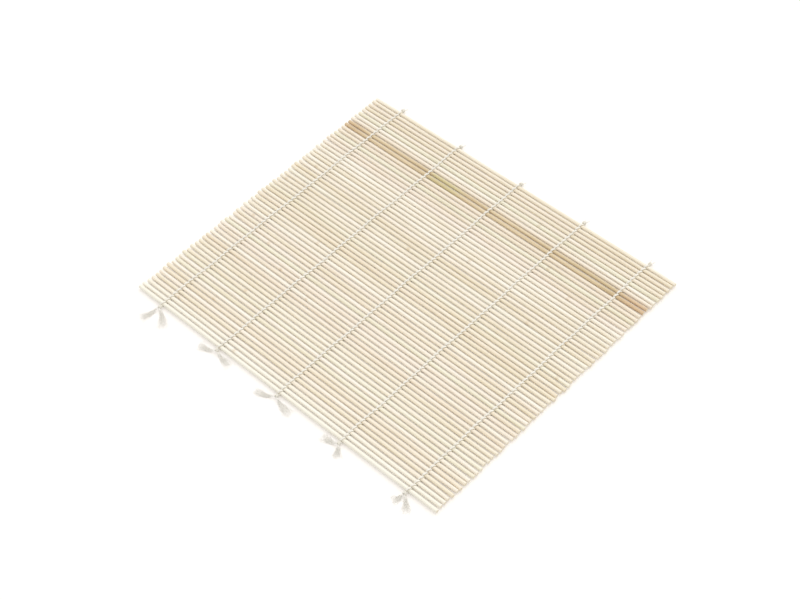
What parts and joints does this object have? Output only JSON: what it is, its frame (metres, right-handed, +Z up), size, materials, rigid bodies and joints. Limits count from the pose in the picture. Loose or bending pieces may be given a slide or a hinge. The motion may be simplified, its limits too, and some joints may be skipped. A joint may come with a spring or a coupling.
{
  "type": "sushi rolling mat",
  "caption": "Flat bamboo rolling mat: thin round sticks side by side, held by rows of twined cotton thread with knots and a short fringe at the edges. It rolls up.",
  "frame": {"origin": "middle of the mat's outline, thread ends included, on the board that the mat lies on", "axes": "+X along the sticks, +Y along the threads from the fringed edge to the plain edge, +Z up out of the board"},
  "size_m": [0.24, 0.2242, 0.0035],
  "materials": {
    "bamboo": "smooth, unvarnished pale bamboo",
    "dark_bamboo": "smooth, unvarnished tan bamboo from near the skin",
    "cotton": "matt twisted cotton"
  },
  "bodies": {
    "slats_01": {"sticks_01": "bamboo", "threads_01": "cotton", "fringe_knots": "cotton", "fringe_tails": "cotton"},
    "slats_02": {"sticks_02": "bamboo", "threads_02": "cotton"},
    "slats_03": {"sticks_03": "bamboo", "threads_03": "cotton"},
    "slats_04": {"sticks_04": "bamboo", "threads_04": "cotton"},
    "slats_05": {"sticks_05": "bamboo", "threads_05": "cotton"},
    "slats_06": {"sticks_06": "bamboo", "threads_06": "cotton"},
    "slats_07": {"sticks_07": "bamboo", "threads_07": "cotton"},
    "slats_08": {"sticks_08": "bamboo", "threads_08": "cotton"},
    "slats_09": {"sticks_09": "bamboo", "threads_09": "cotton"},
    "slats_10": {"sticks_10": "bamboo", "threads_10": "cotton"},
    "slats_11": {"sticks_11": "bamboo", "threads_11": "cotton"},
    "slats_12": {"sticks_12": "bamboo", "threads_12": "cotton"},
    "slats_13": {"sticks_13": "bamboo", "threads_13": "cotton"},
    "slats_14": {"sticks_14": "bamboo", "threads_14": "cotton"},
    "slats_15": {"sticks_15": "bamboo", "threads_15": "cotton"},
    "slats_16": {"sticks_16": "bamboo", "threads_16": "cotton"},
    "slats_17": {"sticks_17": "bamboo", "threads_17": "cotton"},
    "slats_18": {"sticks_18": "bamboo", "threads_18": "cotton"},
    "slats_19": {"sticks_19": "bamboo", "threads_19": "cotton"},
    "slats_20": {"sticks_20": "bamboo", "threads_20": "cotton"},
    "slats_21": {"sticks_21": "bamboo", "threads_21": "cotton"},
    "slats_22": {"sticks_22": "bamboo", "threads_22": "cotton"},
    "slats_23": {"sticks_23": "bamboo", "threads_23": "cotton"},
    "slats_24": {"sticks_24": "dark_bamboo", "threads_24": "cotton"},
    "slats_25": {"sticks_25": "bamboo", "threads_25": "cotton"},
    "slats_26": {"sticks_26": "bamboo", "threads_26": "cotton"},
    "slats_27": {"sticks_27": "bamboo", "threads_27": "cotton"},
    "slats_28": {"sticks_28": "bamboo", "threads_28": "cotton", "plain_edge_knots": "cotton", "plain_edge_cut_ends": "cotton"}
  },
  "joints": [
    {"name": "bend_01", "type": "hinge", "parent": "slats_01", "child": "slats_02", "pos_m": [0, -0.08818, 0.00175], "axis": [1, 0, 0], "range_deg": [0, 25.96]},
    {"name": "bend_02", "type": "hinge", "parent": "slats_02", "child": "slats_03", "pos_m": [0, -0.07873, 0.00175], "axis": [1, 0, 0], "range_deg": [0, 26.41]},
    {"name": "bend_03", "type": "hinge", "parent": "slats_03", "child": "slats_04", "pos_m": [0, -0.06928, 0.00175], "axis": [1, 0, 0], "range_deg": [0, 26.87]},
    {"name": "bend_04", "type": "hinge", "parent": "slats_04", "child": "slats_05", "pos_m": [0, -0.05983, 0.00175], "axis": [1, 0, 0], "range_deg": [0, 27.36]},
    {"name": "bend_05", "type": "hinge", "parent": "slats_05", "child": "slats_06", "pos_m": [0, -0.05038, 0.00175], "axis": [1, 0, 0], "range_deg": [0, 27.88]},
    {"name": "bend_06", "type": "hinge", "parent": "slats_06", "child": "slats_07", "pos_m": [0, -0.04093, 0.00175], "axis": [1, 0, 0], "range_deg": [0, 28.43]},
    {"name": "bend_07", "type": "hinge", "parent": "slats_07", "child": "slats_08", "pos_m": [0, -0.03148, 0.00175], "axis": [1, 0, 0], "range_deg": [0, 29.02]},
    {"name": "bend_08", "type": "hinge", "parent": "slats_08", "child": "slats_09", "pos_m": [0, -0.02203, 0.00175], "axis": [1, 0, 0], "range_deg": [0, 29.64]},
    {"name": "bend_09", "type": "hinge", "parent": "slats_09", "child": "slats_10", "pos_m": [0, -0.01258, 0.00175], "axis": [1, 0, 0], "range_deg": [0, 25.18]},
    {"name": "bend_10", "type": "hinge", "parent": "slats_10", "child": "slats_11", "pos_m": [0, -0.00628, 0.00175], "axis": [1, 0, 0], "range_deg": [0, 20.37]},
    {"name": "bend_11", "type": "hinge", "parent": "slats_11", "child": "slats_12", "pos_m": [0, 0.00002, 0.00175], "axis": [1, 0, 0], "range_deg": [0, 20.69]},
    {"name": "bend_12", "type": "hinge", "parent": "slats_12", "child": "slats_13", "pos_m": [0, 0.00632, 0.00175], "axis": [1, 0, 0], "range_deg": [0, 21.03]},
    {"name": "bend_13", "type": "hinge", "parent": "slats_13", "child": "slats_14", "pos_m": [0, 0.01262, 0.00175], "axis": [1, 0, 0], "range_deg": [0, 21.38]},
    {"name": "bend_14", "type": "hinge", "parent": "slats_14", "child": "slats_15", "pos_m": [0, 0.01892, 0.00175], "axis": [1, 0, 0], "range_deg": [0, 21.75]},
    {"name": "bend_15", "type": "hinge", "parent": "slats_15", "child": "slats_16", "pos_m": [0, 0.02522, 0.00175], "axis": [1, 0, 0], "range_deg": [0, 22.14]},
    {"name": "bend_16", "type": "hinge", "parent": "slats_16", "child": "slats_17", "pos_m": [0, 0.03152, 0.00175], "axis": [1, 0, 0], "range_deg": [0, 22.55]},
    {"name": "bend_17", "type": "hinge", "parent": "slats_17", "child": "slats_18", "pos_m": [0, 0.03782, 0.00175], "axis": [1, 0, 0], "range_deg": [0, 22.99]},
    {"name": "bend_18", "type": "hinge", "parent": "slats_18", "child": "slats_19", "pos_m": [0, 0.04412, 0.00175], "axis": [1, 0, 0], "range_deg": [0, 23.45]},
    {"name": "bend_19", "type": "hinge", "parent": "slats_19", "child": "slats_20", "pos_m": [0, 0.05042, 0.00175], "axis": [1, 0, 0], "range_deg": [0, 23.94]},
    {"name": "bend_20", "type": "hinge", "parent": "slats_20", "child": "slats_21", "pos_m": [0, 0.05672, 0.00175], "axis": [1, 0, 0], "range_deg": [0, 24.47]},
    {"name": "bend_21", "type": "hinge", "parent": "slats_21", "child": "slats_22", "pos_m": [0, 0.06302, 0.00175], "axis": [1, 0, 0], "range_deg": [0, 25.03]},
    {"name": "bend_22", "type": "hinge", "parent": "slats_22", "child": "slats_23", "pos_m": [0, 0.06932, 0.00175], "axis": [1, 0, 0], "range_deg": [0, 25.63]},
    {"name": "bend_23", "type": "hinge", "parent": "slats_23", "child": "slats_24", "pos_m": [0, 0.07562, 0.00175], "axis": [1, 0, 0], "range_deg": [0, 26.27]},
    {"name": "bend_24", "type": "hinge", "parent": "slats_24", "child": "slats_25", "pos_m": [0, 0.08192, 0.00175], "axis": [1, 0, 0], "range_deg": [0, 26.97]},
    {"name": "bend_25", "type": "hinge", "parent": "slats_25", "child": "slats_26", "pos_m": [0, 0.08822, 0.00175], "axis": [1, 0, 0], "range_deg": [0, 27.72]},
    {"name": "bend_26", "type": "hinge", "parent": "slats_26", "child": "slats_27", "pos_m": [0, 0.09452, 0.00175], "axis": [1, 0, 0], "range_deg": [0, 28.55]},
    {"name": "bend_27", "type": "hinge", "parent": "slats_27", "child": "slats_28", "pos_m": [0, 0.10082, 0.00175], "axis": [1, 0, 0], "range_deg": [0, 29.45]}
  ],
  "couplings": [
    {"joint": "bend_02", "follows": "bend_01", "ratio": 1.017},
    {"joint": "bend_03", "follows": "bend_01", "ratio": 1.035},
    {"joint": "bend_04", "follows": "bend_01", "ratio": 1.0539},
    {"joint": "bend_05", "follows": "bend_01", "ratio": 1.0739},
    {"joint": "bend_06", "follows": "bend_01", "ratio": 1.095},
    {"joint": "bend_08", "follows": "bend_07", "ratio": 1.0214},
    {"joint": "bend_09", "follows": "bend_07", "ratio": 0.86793},
    {"joint": "bend_10", "follows": "bend_07", "ratio": 0.70214},
    {"joint": "bend_11", "follows": "bend_07", "ratio": 0.71316},
    {"joint": "bend_12", "follows": "bend_07", "ratio": 0.72471},
    {"joint": "bend_14", "follows": "bend_13", "ratio": 1.0173},
    {"joint": "bend_15", "follows": "bend_13", "ratio": 1.0356},
    {"joint": "bend_16", "follows": "bend_13", "ratio": 1.0548},
    {"joint": "bend_17", "follows": "bend_13", "ratio": 1.0752},
    {"joint": "bend_19", "follows": "bend_18", "ratio": 1.021},
    {"joint": "bend_20", "follows": "bend_18", "ratio": 1.0433},
    {"joint": "bend_21", "follows": "bend_18", "ratio": 1.0672},
    {"joint": "bend_22", "follows": "bend_18", "ratio": 1.0927},
    {"joint": "bend_24", "follows": "bend_23", "ratio": 1.0265},
    {"joint": "bend_25", "follows": "bend_23", "ratio": 1.0553},
    {"joint": "bend_26", "follows": "bend_23", "ratio": 1.0866},
    {"joint": "bend_27", "follows": "bend_23", "ratio": 1.1208}
  ]
}
